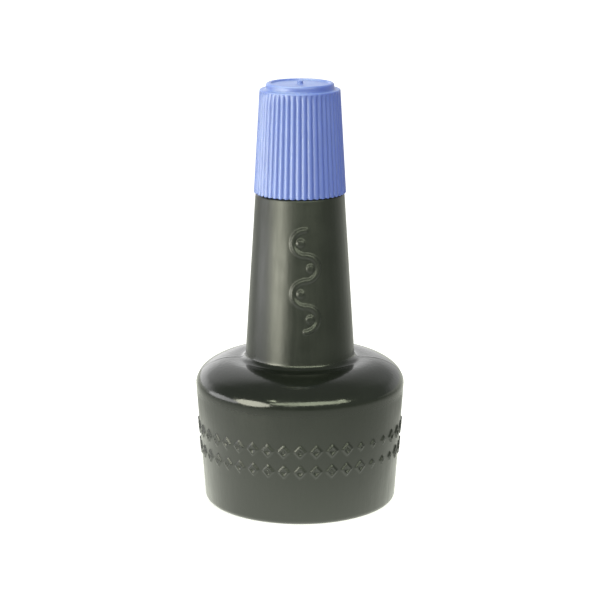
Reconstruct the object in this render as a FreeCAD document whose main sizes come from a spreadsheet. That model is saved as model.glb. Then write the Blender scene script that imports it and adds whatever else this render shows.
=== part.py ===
import FreeCAD
import Part

import os
import re
from math import hypot, sqrt

import Sketcher

# A 28 ml stamp-pad ink bottle, standing on z = 0 with its axis on +Z and its relief facing -Y.
# Millimetres. Pieces: blow-moulded bottle, ink, dropper insert, sealing liner and screw cap.

START, END, CENTRE = 1, 2, 3
H_AXIS, V_AXIS = -1, -2
ORIGIN = (-1, 1)
FULL_TURN = 360
NEARLY_SAME = 1e-3

# name, size in millimetres (or a count or degrees), what it measures
SIZES = (
    ("body_radius", 20.0, "widest radius of the body, at its rim"),
    ("body_foot_radius", 18.35, "radius where the leaning wall would meet the floor"),
    ("rim_height", 22.75, "height of the widest ring"),
    ("rim_round", 4.0, "outer radius of the rim's tight arc"),
    ("shoulder_round", 9.0, "outer radius of the arc from the rim to the flat shoulder"),
    ("shoulder_height", 27.85, "height of the flat shoulder"),
    ("heel_round", 3.0, "rounding between wall and base"),
    ("neck_foot_radius", 10.46, "neck radius at the shoulder"),
    ("neck_top_radius", 8.38, "neck radius under the cap"),
    ("neck_foot_round", 1.25, "hollow rounding between shoulder and neck"),
    ("neck_top_height", 60.0, "height of the ledge that the cap comes down to"),
    ("neck_top_round", 0.5, "rounding of that ledge"),
    ("wall", 1.1, "thickness of the blown wall"),
    ("foot_ring_radius", 15.2, "outer radius of the hollow under the base"),
    ("hollow_radius", 12.0, "radius where the hollow under the base levels out"),
    ("hollow_side_depth", 0.9, "depth of that hollow where it levels out"),
    ("hollow_depth", 1.2, "depth of that hollow on the axis"),
    ("seam_width", 0.24, "width of the mould's parting line"),
    ("seam_proud", 0.05, "height of the parting line over the wall"),
    ("seam_start", 3.4, "height where the parting line starts"),
    ("finish_radius", 6.0, "radius of the threaded mouth at its root"),
    ("finish_height", 69.5, "height of the mouth's rim"),
    ("bore_radius", 4.4, "radius of the mouth's bore"),
    ("pitch", 3.0, "thread pitch"),
    ("thread_turns", 1.5, "turns of thread on the mouth and in the cap"),
    ("thread_crest", 6.75, "radius of the mouth thread's crest"),
    ("thread_start", 62.6, "height where the mouth thread starts"),
    ("thread_root_half", 0.75, "half width of a thread at its root"),
    ("thread_crest_half", 0.35, "half width of a thread at its crest"),
    ("thread_bury", 0.2, "depth that a thread's section reaches into its wall"),
    ("thread_gap", 1.7, "drop from the mouth thread to the cap thread below it"),
    ("mark_count", 40, "raised marks in each row round the wall"),
    ("upper_row", 14.7, "height of the upper row of marks"),
    ("lower_row", 10.7, "height of the lower row of marks"),
    ("mark_half_width", 1.1, "half width of a mark"),
    ("mark_half_height", 1.25, "half height of a mark"),
    ("mark_stroke", 0.5, "width of a mark's raised line, along each axis"),
    ("mark_bury", 0.5, "depth that a mark reaches into the wall"),
    ("relief", 0.25, "height of raised marks over the surface"),
    ("wave_foot", 35.2, "height where the neck's raised wave starts"),
    ("wave_round", 2.4, "radius of each bend of the wave, at the middle of its line"),
    ("wave_side", 1.0, "distance of the wave's middle line to the right of the front"),
    ("wave_half_line", 0.5, "half width of the wave's raised line"),
    ("wave_bends", 4, "bends in the wave"),
    ("wave_dot", 0.8, "radius of the raised dot in each bend"),
    ("wave_dot_out", 0.9, "distance of that dot from the wave's middle line"),
    ("ink_level", 36.0, "height of the ink's surface"),
    ("flange_radius", 5.7, "radius of the insert's flange"),
    ("flange_thickness", 1.0, "thickness of the insert's flange"),
    ("plug_radius", 4.25, "radius of the insert's plug between its beads"),
    ("plug_depth", 6.0, "length of the plug under the flange"),
    ("bead_spacing", 1.5, "distance between the plug's sealing beads, and from them to its ends"),
    ("bead_half", 0.3, "half height of a sealing bead"),
    ("funnel_radius", 3.3, "radius of the funnel at the plug's foot"),
    ("spout_foot_radius", 3.4, "radius of the spout at the flange"),
    ("spout_tip_radius", 1.5, "radius of the spout's tip"),
    ("spout_height", 6.6, "height of the spout over the flange"),
    ("orifice_radius", 0.5, "radius of the dropper's orifice"),
    ("orifice_depth", 2.4, "length of the orifice down to the funnel"),
    ("liner_radius", 6.6, "outer radius of the sealing liner"),
    ("liner_hole_radius", 3.9, "radius of the liner's hole"),
    ("liner_thickness", 1.0, "thickness of the liner"),
    ("play", 0.05, "clearance between the liner and the cap's seat"),
    ("cap_foot_radius", 8.73, "radius over the ribs at the cap's open end"),
    ("cap_lip_radius", 7.58, "radius over the ribs at the cap's lip"),
    ("cap_foot_height", 60.05, "height of the cap's open end"),
    ("cap_lip_height", 79.6, "height of the flat lip over the ribs"),
    ("lip_round", 0.3, "rounding of the lip's edge"),
    ("crown_radius", 6.4, "outer radius of the raised ring on top"),
    ("crown_height", 80.8, "height of that ring"),
    ("crown_round", 0.45, "rounding of the ring's outer edge"),
    ("crown_foot_round", 0.35, "hollow rounding between the lip and the ring"),
    ("dish_radius", 5.85, "radius of the dish inside the ring"),
    ("dish_edge_height", 80.4, "height of the dish beside the ring"),
    ("dish_height", 80.6, "height of the dish round its nub"),
    ("gate_radius", 0.55, "radius of the moulding gate's nub"),
    ("gate_height", 81.2, "height of the top of the nub"),
    ("rib_count", 46, "grip ribs round the cap"),
    ("rib_phase", 2.0, "turn of the first groove from the front, in degrees"),
    ("groove_round", 0.34, "radius of the groove between two ribs"),
    ("groove_top_height", 79.3, "height where the grooves end under the lip"),
    ("cap_bore_radius", 6.95, "radius of the cap's bore round the mouth"),
    ("cap_thread_crest", 6.2, "inner radius of the cap thread's crest"),
    ("cap_well_radius", 5.3, "radius of the well round the spout"),
    ("cap_well_height", 78.7, "height of the well's ceiling"),
    ("pin_radius", 0.45, "radius of the pin that closes the orifice"),
    ("pin_height", 76.2, "height of the pin's lower end"),
    ("overrun", 2.0, "length by which a cutter passes the face that it opens"),
)

document = FreeCAD.newDocument("ink_bottle")


def make_sheet():
    """Writes the driving dimensions, one row each."""
    made = document.addObject("Spreadsheet::Sheet", "Sizes")
    for row, (name, size, meaning) in enumerate(SIZES, start=1):
        made.set(f"A{row}", meaning)
        made.set(f"B{row}", str(size))
        made.setAlias(f"B{row}", name)
    document.recompute()
    return made


sheet = make_sheet()


def cells(expression):
    """Spells an expression on the sheet's names the way other objects read it."""
    names = {name for name, _, _ in SIZES}
    return re.sub("[a-z_]+", lambda word: ("Sizes." if word[0] in names else "") + word[0], expression)


def size(expression):
    """The number that an expression on the sheet's names gives now."""
    return float(sheet.evalExpression(cells(expression)))


def bind(item, **properties):
    """Binds properties of a document object to expressions on the sheet's names."""
    for name, expression in properties.items():
        item.setExpression(name.replace("__", "."), cells(expression))


def new_body(label):
    body = document.addObject("PartDesign::Body", label)
    body.Label = label
    return body


def new_sketch(body, name, role="XZ_Plane", lift="0"):
    """An empty sketch on one of the body's own origin planes, or lifted off it along its normal."""
    sketch = body.newObject("Sketcher::SketchObject", name)
    plane = next(item for item in body.Origin.OriginFeatures if item.Role == role)
    sketch.AttachmentSupport = [(plane, "")]
    sketch.MapMode = "FlatFace"
    bind(sketch, AttachmentOffset__Base__z=lift)
    return sketch


def constrain(sketch, expression, kind, *where):
    """Adds a dimension and binds it to the sheet."""
    number = sketch.addConstraint(Sketcher.Constraint(kind, *where, size(expression)))
    sketch.setExpression(f"Constraints[{number}]", cells(expression))


def pin(sketch, side, point, place):
    """Holds one point of a side at a place, a pair of expressions; 0 puts it on that axis."""
    for kind, axis, expression in zip(("DistanceX", "DistanceY"), (V_AXIS, H_AXIS), place):
        if expression == "0":
            sketch.addConstraint(Sketcher.Constraint("PointOnObject", side, point, axis))
        else:
            constrain(sketch, expression, kind, *ORIGIN, side, point)


def vector(place):
    return FreeCAD.Vector(size(place[0]), size(place[1]), 0)


def draw_outline(sketch, corners):
    """Closes straight sides through corners, each held by its own two dimensions."""
    first = sketch.GeometryCount
    for start, end in zip(corners, corners[1:] + corners[:1]):
        sketch.addGeometry(Part.LineSegment(vector(start), vector(end)), False)
    for index, corner in enumerate(corners):
        following = first + (index + 1) % len(corners)
        sketch.addConstraint(Sketcher.Constraint("Coincident", first + index, END, following, START))
        pin(sketch, first + index, START, corner)


def draw_circle(sketch, centre, radius):
    number = sketch.addGeometry(Part.Circle(vector(centre), FreeCAD.Vector(0, 0, 1), size(radius)), False)
    pin(sketch, number, CENTRE, centre)
    constrain(sketch, radius, "Radius", number)


def shape_body(body, kind, name, sketch, **properties):
    """Adds a feature that works on a sketch, and binds its sizes."""
    feature = body.newObject("PartDesign::" + kind, name)
    feature.Profile = sketch
    bind(feature, **properties)
    document.recompute()
    return feature


def spin(body, kind, name, sketch):
    """A Revolution or Groove of the sketch, a full turn about the vertical axis."""
    base = body.Tip
    feature = body.newObject("PartDesign::" + kind, name)
    feature.Profile = sketch
    feature.ReferenceAxis = (sketch, ["V_Axis"])
    feature.Angle = FULL_TURN
    document.recompute()
    if kind == "Groove":
        check_cut(base, feature)


def check_cut(base, feature):
    """Stops where a cutting feature takes nothing off its base."""
    if feature.Shape.Volume >= base.Shape.Volume:
        raise ValueError(f"{feature.Name} cuts nothing")


def repeat(body, name, feature, count):
    """Repeats a feature round the vertical axis, and makes the pattern the body's tip."""
    pattern = body.newObject("PartDesign::PolarPattern", name)
    pattern.Originals = [feature]
    axis = next(item for item in body.Origin.OriginFeatures if item.Role == "Z_Axis")
    pattern.Axis = (axis, [""])
    pattern.Angle = FULL_TURN
    bind(pattern, Occurrences=count)
    body.Tip = pattern
    document.recompute()


def round_rings(body, name, rings, radius):
    """Fillets the circular edges at the given (radius, height) places."""
    base = body.Tip
    wanted = [(size(across), size(up)) for across, up in rings]
    found = []
    for number, edge in enumerate(base.Shape.Edges, start=1):
        if not isinstance(edge.Curve, Part.Circle):
            continue
        ring = (edge.Curve.Radius, edge.Curve.Center.z)
        if any(hypot(ring[0] - across, ring[1] - up) < NEARLY_SAME for across, up in wanted):
            found.append(f"Edge{number}")
    if len(found) < len(rings):
        raise ValueError(f"{name}: {len(found)} of {len(rings)} edges found")
    fillet = body.newObject("PartDesign::Fillet", name)
    fillet.Base = (base, found)
    bind(fillet, Radius=radius)
    document.recompute()


def add_thread(body, name, root, crest, start):
    """A right-hand thread between two radii, from a trapezium a little buried in its wall."""
    into_wall = "- thread_bury" if size(crest) > size(root) else "+ thread_bury"
    buried = f"{root} {into_wall}"
    sketch = new_sketch(body, name + "_section")
    draw_outline(
        sketch,
        [
            (buried, f"{start} - thread_root_half"),
            (crest, f"{start} - thread_crest_half"),
            (crest, f"{start} + thread_crest_half"),
            (buried, f"{start} + thread_root_half"),
        ],
    )
    helix = body.newObject("PartDesign::AdditiveHelix", name)
    helix.Profile = sketch
    helix.ReferenceAxis = (sketch, ["V_Axis"])
    helix.Mode = "pitch-turns-angle"
    bind(helix, Pitch="pitch", Turns="thread_turns")
    document.recompute()


def join_tangent(sketch, first, second):
    """Joins the end of one side smoothly to the start of the next."""
    sketch.addConstraint(Sketcher.Constraint("Tangent", first, END, second, START))


def toward(centre, first, second, radius):
    """The point at a radius from centre, midway in direction between two other points."""
    way = (first - centre).normalize() + (second - centre).normalize()
    return centre + way.normalize() * radius


def draw_shoulder(sketch, inset, floor, crown):
    """Draws the bottle's outline: floor corners, leaning wall, two-arc rim, shoulder, crown corners.

    The outline lies inside the bottle's outer face by inset.
    """
    rim = ("body_radius - rim_round", "rim_height")
    rim_radius = f"rim_round - {inset}"
    shoulder_radius = f"shoulder_round - {inset}"
    centre = vector(rim)
    drop = size("shoulder_round") - (size("shoulder_height") - size("rim_height"))
    reach = size("shoulder_round") - size("rim_round")
    far_centre = centre - FreeCAD.Vector(sqrt(reach**2 - drop**2), drop, 0)
    meeting = centre + (centre - far_centre).normalize() * size(rim_radius)
    wall_top = centre + FreeCAD.Vector(size(rim_radius), 0, 0)
    flat_start = far_centre + FreeCAD.Vector(0, size(shoulder_radius), 0)
    rim_middle = toward(centre, wall_top, meeting, size(rim_radius))
    shoulder_middle = toward(far_centre, meeting, flat_start, size(shoulder_radius))
    sides = [Part.LineSegment(vector(a), vector(b)) for a, b in zip(floor, floor[1:])]
    sides.append(Part.LineSegment(vector(floor[-1]), wall_top))
    sides.append(Part.Arc(wall_top, rim_middle, meeting))
    sides.append(Part.Arc(meeting, shoulder_middle, flat_start))
    sides.append(Part.LineSegment(flat_start, vector(crown[0])))
    sides += [Part.LineSegment(vector(a), vector(b)) for a, b in zip(crown, crown[1:] + floor[:1])]
    sketch.addGeometry(sides, False)

    wall = len(floor) - 1
    rim_arc, shoulder_arc, flat = wall + 1, wall + 2, wall + 3
    for index, corner in enumerate(floor):
        pin(sketch, index, START, corner)
        if index < wall:
            sketch.addConstraint(Sketcher.Constraint("Coincident", index, END, index + 1, START))
    join_tangent(sketch, wall, rim_arc)
    join_tangent(sketch, rim_arc, shoulder_arc)
    join_tangent(sketch, shoulder_arc, flat)
    pin(sketch, rim_arc, CENTRE, rim)
    constrain(sketch, rim_radius, "Radius", rim_arc)
    constrain(sketch, shoulder_radius, "Radius", shoulder_arc)
    sketch.addConstraint(Sketcher.Constraint("Horizontal", flat))
    for index, corner in enumerate(crown, start=flat):
        pin(sketch, index, END, corner)
        following = (index + 1) % len(sides)
        sketch.addConstraint(Sketcher.Constraint("Coincident", index, END, following, START))


def base_hollow(lift):
    """Corners of the hollow under the base, from the axis out, raised by lift."""
    return [
        ("0", f"hollow_depth + {lift}"),
        ("hollow_radius", f"hollow_side_depth + {lift}"),
        ("foot_ring_radius", lift),
    ]


def build_outside():
    """The bottle's solid outside: body, neck, threaded mouth, parting line and marks on the wall."""
    body = new_body("bottle_outside")
    outline = new_sketch(body, "outline")
    floor = base_hollow("0")[:2] + [("foot_ring_radius", "0"), ("body_foot_radius", "0")]
    crown = [
        ("neck_foot_radius", "shoulder_height"),
        ("neck_top_radius", "neck_top_height"),
        ("finish_radius", "neck_top_height"),
        ("finish_radius", "finish_height"),
        ("0", "finish_height"),
    ]
    draw_shoulder(outline, "0", floor, crown)
    spin(body, "Revolution", "turned_outside", outline)
    round_rings(body, "heel", [("body_foot_radius", "0")], "heel_round")
    round_rings(body, "neck_foot", [("neck_foot_radius", "shoulder_height")], "neck_foot_round")
    round_rings(body, "neck_top", [("neck_top_radius", "neck_top_height")], "neck_top_round")
    add_wall_marks(body)
    add_seam(body)
    add_thread(body, "mouth_thread", "finish_radius", "thread_crest", "thread_start")
    return body


def add_wall_marks(body):
    """Two rows of raised hollow lozenges, on a plane that leans with the wall, repeated round it."""
    lean = "atan((body_radius - body_foot_radius) / rim_height)"
    middle = "(upper_row + lower_row) / 2"
    wall_radius = f"(body_foot_radius + {middle} * tan({lean}))"
    sketch = new_sketch(body, "wall_marks", lift=f"{wall_radius} - mark_bury")
    sketch.AttachmentOffset.Rotation = FreeCAD.Rotation(FreeCAD.Vector(1, 0, 0), size(lean))
    bind(sketch, AttachmentOffset__Base__y=middle, AttachmentOffset__Rotation__Angle=lean)
    for row in ("upper_row", "lower_row"):
        height = f"({row} - {middle}) / cos({lean})"
        draw_lozenge(sketch, height, "mark_half_width", "mark_half_height")
        draw_lozenge(sketch, height, "(mark_half_width - mark_stroke)", "(mark_half_height - mark_stroke)")
    pad = shape_body(body, "Pad", "first_marks", sketch, Length="mark_bury + relief")
    repeat(body, "all_marks", pad, "mark_count")


def draw_lozenge(sketch, height, half_width, half_height):
    draw_outline(
        sketch,
        [
            (half_width, height),
            ("0", f"{height} + {half_height}"),
            (f"-{half_width}", height),
            ("0", f"{height} - {half_height}"),
        ],
    )


def add_seam(body):
    """The mould's parting line: a thin plate in the XZ plane, a little proud of the outside."""
    sketch = new_sketch(body, "seam_outline")
    proud = "(0 - seam_proud)"
    lean = "(body_radius - body_foot_radius) / rim_height"
    floor = [("0", "seam_start"), (f"body_foot_radius + seam_start * {lean} - {proud}", "seam_start")]
    crown = [
        (f"neck_foot_radius - {proud}", f"shoulder_height - {proud}"),
        (f"neck_top_radius - {proud}", "neck_top_height - neck_top_round"),
        ("0", "neck_top_height - neck_top_round"),
    ]
    draw_shoulder(sketch, proud, floor, crown)
    pad = shape_body(body, "Pad", "seam_right", sketch, Length="seam_width")
    pad.Midplane = True
    plane = next(item for item in body.Origin.OriginFeatures if item.Role == "YZ_Plane")
    mirror = body.newObject("PartDesign::Mirrored", "seam_left")
    mirror.Originals = [pad]
    mirror.MirrorPlane = (plane, [""])
    body.Tip = mirror
    document.recompute()


def build_neck_wave():
    """A raised wave of half rings down the neck's front with a dot in each bend, skin deep."""
    prism = new_body("wave_prism")
    sketch = new_sketch(prism, "wave", lift="neck_top_radius / 2")
    bind(sketch, AttachmentOffset__Base__x="wave_side")
    draw_wave(sketch)
    shape_body(prism, "Pad", "wave_pad", sketch, Length="neck_foot_radius")

    skin = document.addObject("Part::Cone", "wave_skin")
    slope = "(neck_foot_radius - neck_top_radius) / (neck_top_height - shoulder_height)"
    foot = "(wave_foot - overrun)"
    length = "(wave_bends * 2 * wave_round + overrun * 2)"
    foot_radius = f"neck_foot_radius - ({foot} - shoulder_height) * {slope} + relief"
    bind(
        skin,
        Radius1=foot_radius,
        Radius2=f"{foot_radius} - {length} * {slope}",
        Height=length,
        Placement__Base__z=foot,
    )
    wave = document.addObject("Part::Common", "neck_wave")
    wave.Base = skin
    wave.Tool = prism
    document.recompute()
    return wave


def draw_wave(sketch):
    """Half rings to the right and left in turn, closed by a short side at the foot and at the top."""
    bends = int(size("wave_bends"))
    inner, outer = "(wave_round - wave_half_line)", "(wave_round + wave_half_line)"
    centres = [f"wave_foot + wave_round * {2 * bend + 1}" for bend in range(bends)]
    for bend, centre in enumerate(centres):
        side = 1 if bend % 2 == 0 else -1
        for radius in (inner, outer):
            draw_half_ring(sketch, centre, radius, side)
        draw_circle(sketch, (f"{side} * wave_dot_out", centre), "wave_dot")
    last_outer, last_inner = f"{centres[-1]} + {outer}", f"{centres[-1]} + {inner}"
    for low, high in ((f"{centres[0]} - {outer}", f"{centres[0]} - {inner}"), (last_inner, last_outer)):
        side = sketch.addGeometry(Part.LineSegment(vector(("0", low)), vector(("0", high))), False)
        pin(sketch, side, START, ("0", low))
        pin(sketch, side, END, ("0", high))


def draw_half_ring(sketch, centre, radius, side):
    """Half a circle about a point on the vertical axis, to the right (1) or the left (-1) of it."""
    low, high = ("0", f"{centre} - {radius}"), ("0", f"{centre} + {radius}")
    bulge = FreeCAD.Vector(side * size(radius), size(centre), 0)
    ends = (low, high) if side > 0 else (high, low)
    arc = sketch.addGeometry(Part.Arc(vector(ends[0]), bulge, vector(ends[1])), False)
    pin(sketch, arc, START, ends[0])
    pin(sketch, arc, END, ends[1])
    sketch.addConstraint(Sketcher.Constraint("PointOnObject", arc, CENTRE, V_AXIS))


def build_cavity():
    """The space inside the bottle: its outside drawn one wall inward, and the mouth's bore."""
    body = new_body("bottle_cavity")
    sketch = new_sketch(body, "inside")
    lean = "(body_radius - body_foot_radius) / rim_height"
    floor = base_hollow("wall") + [(f"body_foot_radius - wall + wall * {lean}", "wall")]
    crown = [
        ("neck_foot_radius - wall", "shoulder_height - wall"),
        ("neck_top_radius - wall", "neck_top_height - wall - neck_top_round"),
        ("bore_radius", "neck_top_height - wall / 2"),
        ("bore_radius", "finish_height + overrun"),
        ("0", "finish_height + overrun"),
    ]
    draw_shoulder(sketch, "wall", floor, crown)
    spin(body, "Revolution", "turned_inside", sketch)
    round_rings(body, "inner_heel", [(floor[-1][0], "wall")], "heel_round - wall")
    return body


def build_bottle(cavity):
    """The bottle itself: the outside with its wave, less the space inside."""
    solid = document.addObject("Part::Fuse", "bottle_solid")
    solid.Base = build_outside()
    solid.Tool = build_neck_wave()
    bottle = document.addObject("Part::Cut", "bottle")
    bottle.Base = solid
    bottle.Tool = cavity
    return bottle


def build_ink(cavity):
    """28 ml of ink: the space inside up to the ink's level."""
    depth = document.addObject("Part::Cylinder", "ink_depth")
    bind(depth, Radius="body_radius", Height="ink_level")
    ink = document.addObject("Part::Common", "ink")
    ink.Base = cavity
    ink.Tool = depth
    return ink


def build_insert():
    """The dropper insert: flange on the mouth, plug with two beads in the bore, spout and orifice."""
    body = new_body("dropper_insert")
    sketch = new_sketch(body, "section")
    foot = "finish_height - plug_depth"
    flange_top = "finish_height + flange_thickness"
    tip = f"{flange_top} + spout_height"
    corners = [
        ("orifice_radius", tip),
        ("orifice_radius", f"{tip} - orifice_depth"),
        ("funnel_radius", foot),
        ("plug_radius", foot),
    ]
    for bead in (1, 2):
        middle = f"{foot} + bead_spacing * {bead}"
        corners += [
            ("plug_radius", f"{middle} - bead_half"),
            ("bore_radius", middle),
            ("plug_radius", f"{middle} + bead_half"),
        ]
    corners += [
        ("plug_radius", "finish_height"),
        ("flange_radius", "finish_height"),
        ("flange_radius", flange_top),
        ("spout_foot_radius", flange_top),
        ("spout_tip_radius", tip),
    ]
    draw_outline(sketch, corners)
    spin(body, "Revolution", "turned_insert", sketch)
    return body


def build_liner():
    """The foam washer between the insert's flange and the seat in the cap."""
    body = new_body("cap_liner")
    sketch = new_sketch(body, "ring", "XY_Plane", "finish_height + flange_thickness")
    draw_circle(sketch, ("0", "0"), "liner_radius")
    draw_circle(sketch, ("0", "0"), "liner_hole_radius")
    shape_body(body, "Pad", "washer", sketch, Length="liner_thickness")
    return body


def build_cap():
    """The screw cap: turned shell, grip grooves, bore, well with its closing pin, and thread."""
    body = new_body("cap")
    outline = new_sketch(body, "outline")
    draw_outline(
        outline,
        [
            ("0", "cap_foot_height"),
            ("cap_foot_radius", "cap_foot_height"),
            ("cap_lip_radius", "cap_lip_height"),
            ("crown_radius", "cap_lip_height"),
            ("crown_radius", "crown_height"),
            ("dish_radius", "crown_height"),
            ("dish_radius", "dish_edge_height"),
            ("gate_radius", "dish_height"),
            ("gate_radius", "gate_height"),
            ("0", "gate_height"),
        ],
    )
    spin(body, "Revolution", "turned_cap", outline)
    round_rings(body, "lip_edge", [("cap_lip_radius", "cap_lip_height")], "lip_round")
    round_rings(body, "crown_edge", [("crown_radius", "crown_height")], "crown_round")
    round_rings(body, "crown_foot", [("crown_radius", "cap_lip_height")], "crown_foot_round")
    cut_grip(body)

    inside = new_sketch(body, "inside")
    seat = "finish_height + flange_thickness + liner_thickness + play"
    draw_outline(
        inside,
        [
            ("0", "cap_foot_height - overrun"),
            ("cap_bore_radius", "cap_foot_height - overrun"),
            ("cap_bore_radius", seat),
            ("cap_well_radius", seat),
            ("cap_well_radius", "cap_well_height"),
            ("pin_radius", "cap_well_height"),
            ("pin_radius", "pin_height"),
            ("0", "pin_height"),
        ],
    )
    spin(body, "Groove", "turned_inside", inside)
    add_thread(body, "cap_thread", "cap_bore_radius", "cap_thread_crest", "thread_start - thread_gap")
    return body


def cut_grip(body):
    """Cuts one groove that follows the cap's taper, and repeats it round the cap."""
    taper = "(cap_foot_radius - cap_lip_radius) / (cap_lip_height - cap_foot_height)"
    sections = []
    for name, height in (("groove_foot", "cap_foot_height - overrun"), ("groove_top", "groove_top_height")):
        sketch = new_sketch(body, name, "XY_Plane", height)
        out = f"(cap_foot_radius - ({height} - cap_foot_height) * {taper})"
        draw_circle(sketch, (f"{out} * sin(rib_phase)", f"-{out} * cos(rib_phase)"), "groove_round")
        sections.append(sketch)
    base = body.Tip
    groove = body.newObject("PartDesign::SubtractiveLoft", "groove")
    groove.Profile = sections[0]
    groove.Sections = sections[1:]
    document.recompute()
    check_cut(base, groove)
    repeat(body, "grip", groove, "rib_count")


def check(pieces):
    """Stops at a failed object, and at a piece whose shape is null, broken or not one solid."""
    for item in document.Objects:
        if "Invalid" in item.State or "Error" in item.State:
            raise ValueError(f"{item.Label} failed: {item.State}")
    for label, piece in pieces.items():
        if piece.Shape.isNull() or not piece.Shape.isValid() or len(piece.Shape.Solids) != 1:
            raise ValueError(f"{label} is not one sound solid")
        print(f"{label}: {piece.Shape.Volume / 1000:.3f} ml")


def main():
    cavity = build_cavity()
    pieces = {
        "bottle": build_bottle(cavity),
        "ink": build_ink(cavity),
        "dropper_insert": build_insert(),
        "cap_liner": build_liner(),
        "cap": build_cap(),
    }
    document.recompute()
    for label, piece in pieces.items():
        piece.Label = label
    check(pieces)
    os.makedirs("parts", exist_ok=True)
    for label, piece in pieces.items():
        piece.Shape.exportStep(f"parts/{label}.step")


main()
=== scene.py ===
from math import atan2, ceil, cos, hypot, pi, radians, sin, sqrt, tan

import bpy
from mathutils import Matrix, Vector, noise


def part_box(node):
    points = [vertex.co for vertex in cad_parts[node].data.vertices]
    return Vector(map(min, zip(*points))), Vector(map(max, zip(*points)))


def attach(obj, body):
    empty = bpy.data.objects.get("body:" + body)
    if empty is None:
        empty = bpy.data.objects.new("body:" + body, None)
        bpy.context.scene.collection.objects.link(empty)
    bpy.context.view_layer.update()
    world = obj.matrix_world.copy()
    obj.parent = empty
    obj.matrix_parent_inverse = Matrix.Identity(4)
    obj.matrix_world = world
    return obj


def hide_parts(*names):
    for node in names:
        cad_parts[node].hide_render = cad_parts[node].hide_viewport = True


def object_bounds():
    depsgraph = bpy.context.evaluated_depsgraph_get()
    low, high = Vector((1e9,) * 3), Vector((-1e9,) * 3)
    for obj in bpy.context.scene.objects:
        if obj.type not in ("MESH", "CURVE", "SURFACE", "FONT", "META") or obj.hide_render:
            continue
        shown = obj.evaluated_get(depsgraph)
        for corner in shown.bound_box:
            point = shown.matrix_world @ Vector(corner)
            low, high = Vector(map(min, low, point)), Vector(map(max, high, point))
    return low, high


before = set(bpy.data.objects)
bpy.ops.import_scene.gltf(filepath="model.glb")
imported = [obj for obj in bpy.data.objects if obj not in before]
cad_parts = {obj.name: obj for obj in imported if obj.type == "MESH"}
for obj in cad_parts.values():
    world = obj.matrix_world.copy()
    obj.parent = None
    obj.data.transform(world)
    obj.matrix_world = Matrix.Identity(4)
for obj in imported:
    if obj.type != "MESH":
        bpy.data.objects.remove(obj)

bl_info = {
    "name": "Ink bottle",
    "version": (1, 0, 0),
    "blender": (4, 5, 0),
    "location": "3D View > Sidebar > Ink bottle",
    "description": "A stamp-pad ink bottle: blown bottle, ink, dropper insert, liner and screw cap",
    "category": "Object",
}

MM = 0.001
CAD_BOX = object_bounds()
BOTTLE_BOX, CAP_BOX, INSERT_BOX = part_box("bottle"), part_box("cap"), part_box("dropper_insert")
LINER_BOX, INK_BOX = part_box("cap_liner"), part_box("ink")


def length(name, default_mm, description):
    """A size of the object, given in millimetres and held in metres."""
    return bpy.props.FloatProperty(
        name=name, description=description, default=default_mm * MM, unit="LENGTH", precision=5
    )


def colour(name, default_hex, description):
    """A colour, kept as its sRGB hex value."""
    return bpy.props.StringProperty(name=name, description=description, default=default_hex)


def count(name, default, description):
    """A whole number of repeated features."""
    return bpy.props.IntProperty(name=name, description=description, default=default)


class BottleSizes(bpy.types.PropertyGroup):
    """Sizes of the blown bottle."""

    wall: length("Wall", 1.1, "Thickness of the blown wall")
    foot_radius: length("Foot radius", 18.35, "Radius where the leaning wall would meet the floor")
    rim_radius: length("Rim radius", 20.0, "Widest radius of the body")
    rim_height: length("Rim height", 22.75, "Height of the widest ring")
    rim_round: length("Rim rounding", 4.0, "Radius of the rim's tight arc")
    shoulder_round: length("Shoulder rounding", 9.0, "Radius of the arc from rim to shoulder")
    shoulder_height: length("Shoulder height", 27.85, "Height of the flat shoulder")
    heel_round: length("Heel rounding", 3.0, "Rounding between wall and base")
    neck_foot_radius: length("Neck foot radius", 10.46, "Neck radius at the shoulder")
    neck_top_radius: length("Neck top radius", 8.38, "Neck radius under the cap")
    neck_top_height: length("Neck top", 60.0, "Height of the ledge under the cap")
    neck_foot_round: length("Neck foot rounding", 1.25, "Hollow rounding at the neck's foot")
    ledge_round: length("Ledge rounding", 0.5, "Rounding of the neck's top edge")
    hollow_radius: length("Hollow radius", 15.2, "Radius of the hollow under the base")
    hollow_depth: length("Hollow depth", 1.2, "Depth of the hollow under the base")
    mouth_radius: length("Mouth radius", 6.0, "Radius of the threaded mouth at its root")
    bore_radius: length("Bore radius", 4.4, "Radius of the mouth's bore")
    thread_crest: length("Thread crest", 6.75, "Radius of the mouth's thread")
    thread_start: length("Thread start", 62.6, "Height where the mouth's thread starts")
    relief: length("Relief", 0.25, "Height of the raised marks")
    upper_row: length("Upper row", 14.7, "Height of the upper row of marks")
    lower_row: length("Lower row", 10.7, "Height of the lower row of marks")
    mark_half_width: length("Mark half width", 1.1, "Half width of a raised lozenge")
    mark_half_height: length("Mark half height", 1.25, "Half height of a raised lozenge")
    mark_line: length("Mark line", 0.42, "Width of a lozenge's raised line")
    marks: count("Marks", 40, "Raised lozenges in each row")
    wave_foot: length("Wave foot", 35.2, "Height where the raised wave starts")
    wave_round: length("Wave rounding", 2.4, "Radius of the wave's bends")
    wave_side: length("Wave side", 1.0, "Distance of the wave to the right of the front")
    wave_line: length("Wave line", 1.0, "Width of the wave's raised line")
    wave_dot: length("Wave dot", 0.8, "Radius of the dot in each bend")
    wave_dot_out: length("Wave dot offset", 0.9, "Distance of the dot from the wave's middle line")
    wave_bends: count("Wave bends", 4, "Bends in the raised wave")
    seam_width: length("Seam width", 0.3, "Width of the parting line")
    seam_proud: length("Seam height", 0.05, "Height of the parting line")
    waviness: length("Waviness", 0.035, "How far the blown wall wanders from a true round")


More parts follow.
